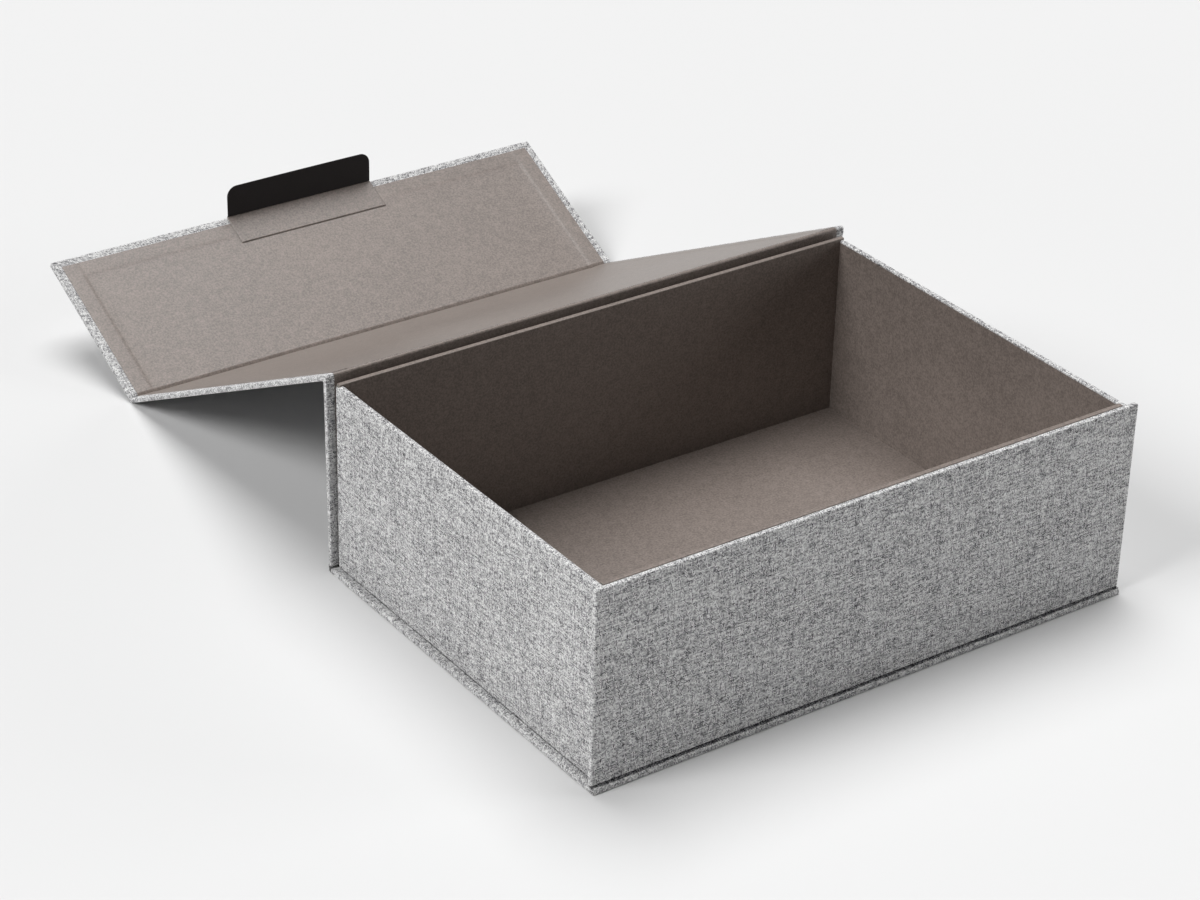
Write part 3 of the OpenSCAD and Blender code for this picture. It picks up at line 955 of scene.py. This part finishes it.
def make_cross_wall(name, inward):
    """A front or back wall of the tray, with paper up its inner face and over its top."""
    lo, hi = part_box(name + "_liner")
    inner_y = hi.y if inward > 0 else lo.y
    outer_y = lo.y if inward > 0 else hi.y
    edge_r = 0.45 * MM
    path = rounded([(inner_y, lo.z), (inner_y, hi.z), (outer_y, hi.z), (outer_y, hi.z - TURN_IN)],
                   edge_r, line_steps=8)
    paper = Skin()
    bar(paper, path, -PAPER_SKIN * inward, spread(lo.x, hi.x, PAPER_STEP))
    ride(paper.build(name + "_lining", PAPER), "case", "lining_paper", name + "_liner")


def make_tray_floor():
    """The paper on the tray's floor, very slightly uneven where it is pasted down."""
    lo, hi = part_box("tray_floor_liner")

    def point(x, y):
        """The paper's two faces at one place on the floor."""
        z = hi.z + wobble(x, y, 5.0, *FLOOR_WAVES)
        return Vector((x, y, z)), Vector((x, y, lo.z)), (x, y)

    skin = Skin()
    skin.sheet(spread(lo.x, hi.x, PAPER_STEP), spread(lo.y, hi.y, PAPER_STEP), point)
    ride(skin.build("tray_floor_lining", PAPER), "case", "lining_paper", "tray_floor_liner")


# ---- The closure tab ----

TAB_HALF_W = card_hi.x
TAB_H = card_hi.z - CREASE.z
TAB_CORNER_R = 6.5 * MM
TAB_STEP = 8 * MM
PATCH_MARGIN = 0.5 * MM    # how far the patch reaches past the card under it
PATCH_LEN = 21 * MM
ROOT_Y0 = FLAP_LEN - PATCH_LEN + PATCH_MARGIN


def tab_top(x):
    """The height of the tab's edge at a place across it, with its two rounded corners."""
    past = abs(x) - (TAB_HALF_W - TAB_CORNER_R)
    if past <= 0:
        return TAB_H
    return TAB_H - TAB_CORNER_R + math.sqrt(max(TAB_CORNER_R ** 2 - past ** 2, 0.0))


def make_tab_leaf():
    """The tab's free leaf, slightly bowed, and its crease."""
    tab = Panel(CREASE, leaning(TAB_LEAN), "tab", 0.0)
    bow_depth = 0.35 * MM
    corner = [TAB_HALF_W - TAB_CORNER_R * (1 - math.sin(math.pi / 2 * i / 10)) for i in range(11)]
    xs = [-x for x in reversed(corner)] + spread(-corner[0], corner[0], TAB_STEP)[1:-1] + corner

    def point(x, part):
        """The card's two faces at a part of the way up to its edge."""
        y = part * tab_top(x)
        bow = -bow_depth * (y / TAB_H) ** 2 * (1 - (x / TAB_HALF_W) ** 2)
        return tab.point(x, y, bow + CARD_T / 2), tab.point(x, y, bow - CARD_T / 2), (x, y)

    skin = Skin()
    skin.sheet(xs, spread(0.0, 1.0, 0.125), point)
    leaf = ride(skin.build("tab_free_leaf", CARD), "tab", "tab_card", "tab_leaf")
    soften = leaf.modifiers.new("cut_edge", "BEVEL")
    soften.width = 0.06 * MM
    soften.segments = 2
    soften.limit_method = "ANGLE"
    soften.angle_limit = math.radians(50)
    ride(bead("tab_crease_card", CREASE, CARD_T / 2, TAB_HALF_W, CARD), "tab", "tab_card")


def make_tab_turn():
    """The card between the crease and the pasted leaf, round the flap's free edge."""
    turn = Skin()
    level = HALF_T + HAIR
    start = CREASE_Y - 0.6 * MM
    edge = CREASE_Y + 0.45 * MM
    bend_r = 0.35 * MM
    across = spread(-TAB_HALF_W, TAB_HALF_W, TAB_STEP)
    bend = rounded([(start, level), (edge, level), (edge, CREASE_N)], bend_r)
    rows = []
    for shown, hid in zip(bend, offset(bend, -SHEET_T)):
        row = []
        for x in across:
            row.append(turn.add(flap.point(x, *shown), flap.point(x, *hid), (x, shown.y)))
        rows.append(row)
    turn.grid(rows)
    ride(turn.build("tab_turned_card", CARD), "flap", "tab_card")


def make_tab_patch():
    """The paper patch over the pasted leaf, which shows the leaf's outline."""
    edge_w = PATCH_MARGIN / 2
    side = TAB_HALF_W + PATCH_MARGIN
    steps = [side, side - edge_w, side - PATCH_MARGIN, side - 2 * PATCH_MARGIN, side - 5 * MM]
    xs = [-x for x in steps] + spread(-steps[-1], steps[-1], TAB_STEP)[1:-1] + steps[::-1]
    start = FLAP_LEN - PATCH_LEN
    ys = [start, start + edge_w, start + PATCH_MARGIN, start + 2 * PATCH_MARGIN]
    ys += spread(ys[-1], CREASE_Y, 3 * MM)[1:]

    def point(x, y):
        """The patch's two faces at one place, higher over the card."""
        margin = min(side - abs(x), y - start)
        n = HALF_T + PAPER_T + CARD_T * smooth(margin / PATCH_MARGIN)
        n += wobble(x, y, 8.0, *PATCH_WAVES)
        return flap.point(x, y, n), flap.point(x, y, n - PAPER_SKIN), (x, y)

    patch = Skin()
    patch.sheet(xs, ys, point)
    ride(patch.build("tab_paper_patch", PATCH_PAPER), "flap", "lining_paper", "tab_patch")


# ---- Kept CAD nodes ----

def cad_material(name):
    """A CAD node's material, from its name."""
    if name.endswith("_board"):
        return BOARD
    if "strip" in name:
        return TAPE
    if "disc" in name or "magnet" in name:
        return STEEL
    if name == "tab_root":
        return CARD
    if name.endswith("_cloth"):
        return LINEN
    return PAPER


def finish_kept_nodes():
    """Gives every CAD node its procedural material."""
    for name, node in frame["nodes"].items():
        material = cad_material(name)
        if not node.material_slots:
            node.data.materials.append(material)
        for slot in node.material_slots:
            slot.material = material


# ---- Stage, light and camera ----

# The view: what the camera aims at, from which side and how far, and how it is turned
VIEW_TARGET = Vector((-0.0149, 0.0944, 0.0400))
VIEW_AZIMUTH = math.radians(35.70)
VIEW_ELEVATION = math.radians(29.11)
VIEW_DISTANCE = 1.748
VIEW_ROLL = math.radians(1.57)
LENS = 98.1
SENSOR_W = 36
CLIP_START = 0.05

FLOOR_REACH = 40.0         # half the floor's width, in metres, so that low views don't see its end
FLOOR_DROP = 0.05 * MM


def make_camera():
    """A camera at the box's front left that looks down on it, with a slight roll."""
    flat = math.cos(VIEW_ELEVATION)
    way = Vector((math.sin(VIEW_AZIMUTH) * flat, math.cos(VIEW_AZIMUTH) * flat,
                  -math.sin(VIEW_ELEVATION)))
    data = bpy.data.cameras.new("camera")
    data.lens = LENS
    data.sensor_width = SENSOR_W
    data.clip_start = CLIP_START
    camera = bpy.data.objects.new("camera", data)
    turn = way.to_track_quat("-Z", "Y").to_matrix() @ Matrix.Rotation(VIEW_ROLL, 3, "Z")
    camera.matrix_world = Matrix.Translation(VIEW_TARGET - way * VIEW_DISTANCE) @ turn.to_4x4()
    bpy.context.scene.collection.objects.link(camera)
    bpy.context.scene.camera = camera


def make_floor():
    """One wide pale floor under the box."""
    mesh = bpy.data.meshes.new("floor")
    work = bmesh.new()
    bmesh.ops.create_grid(work, x_segments=8, y_segments=8, size=FLOOR_REACH)
    work.to_mesh(mesh)
    work.free()
    mesh.materials.append(pale_floor("pale_floor"))
    floor = bpy.data.objects.new("floor", mesh)
    floor.location.z = -FLOOR_DROP
    bpy.context.scene.collection.objects.link(floor)
    floor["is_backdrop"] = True


def wide_light(name, way, spread_angle, strength):
    """Soft, even light over the box and the whole floor, from a direction."""
    data = bpy.data.lights.new(name, "SUN")
    data.angle = math.radians(spread_angle)
    data.energy = strength
    light = bpy.data.objects.new(name, data)
    turn = Vector(way).to_track_quat("Z", "Y").to_matrix()
    light.matrix_world = Matrix.Translation(way) @ turn.to_4x4()
    bpy.context.scene.collection.objects.link(light)


def make_room():
    """A weak, pale light from all around."""
    world = bpy.data.worlds.new("room")
    world.use_nodes = True
    background = world.node_tree.nodes["Background"]
    background.inputs["Color"].default_value = (0.96, 0.98, 1.0, 1)
    background.inputs["Strength"].default_value = 0.045
    bpy.context.scene.world = world


def make_light():
    """Soft studio light: a key from the left, a top light from behind, and a low, weak fill."""
    wide_light("key", (-1.95, 0.15, 1.70), spread_angle=28.0, strength=2.0)
    wide_light("top", (0.4, 0.75, 2.45), spread_angle=42.0, strength=2.55)
    wide_light("fill", (0.85, -0.45, 0.28), spread_angle=30.0, strength=0.68)
    make_room()
    bpy.context.scene.view_settings.view_transform = "Standard"
    bpy.context.scene.cycles.denoising_prefilter = "NONE"


make_camera()
make_floor()
make_light()
finish_kept_nodes()
make_base()
make_front()
make_spine()
make_lid()
make_flap()
make_flap_fold()
make_lid_hinge()
make_hinge_ends()
make_side_wall(-1, "left_wall")
make_side_wall(1, "right_wall")
make_cross_wall("back_wall", -1)
make_cross_wall("inner_front_wall", 1)
make_tray_floor()
make_tab_leaf()
make_tab_turn()
make_tab_patch()

boxes = {"cad": cad_box, "visual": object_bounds()}
{name: [list(corner) for corner in box] for name, box in boxes.items()}
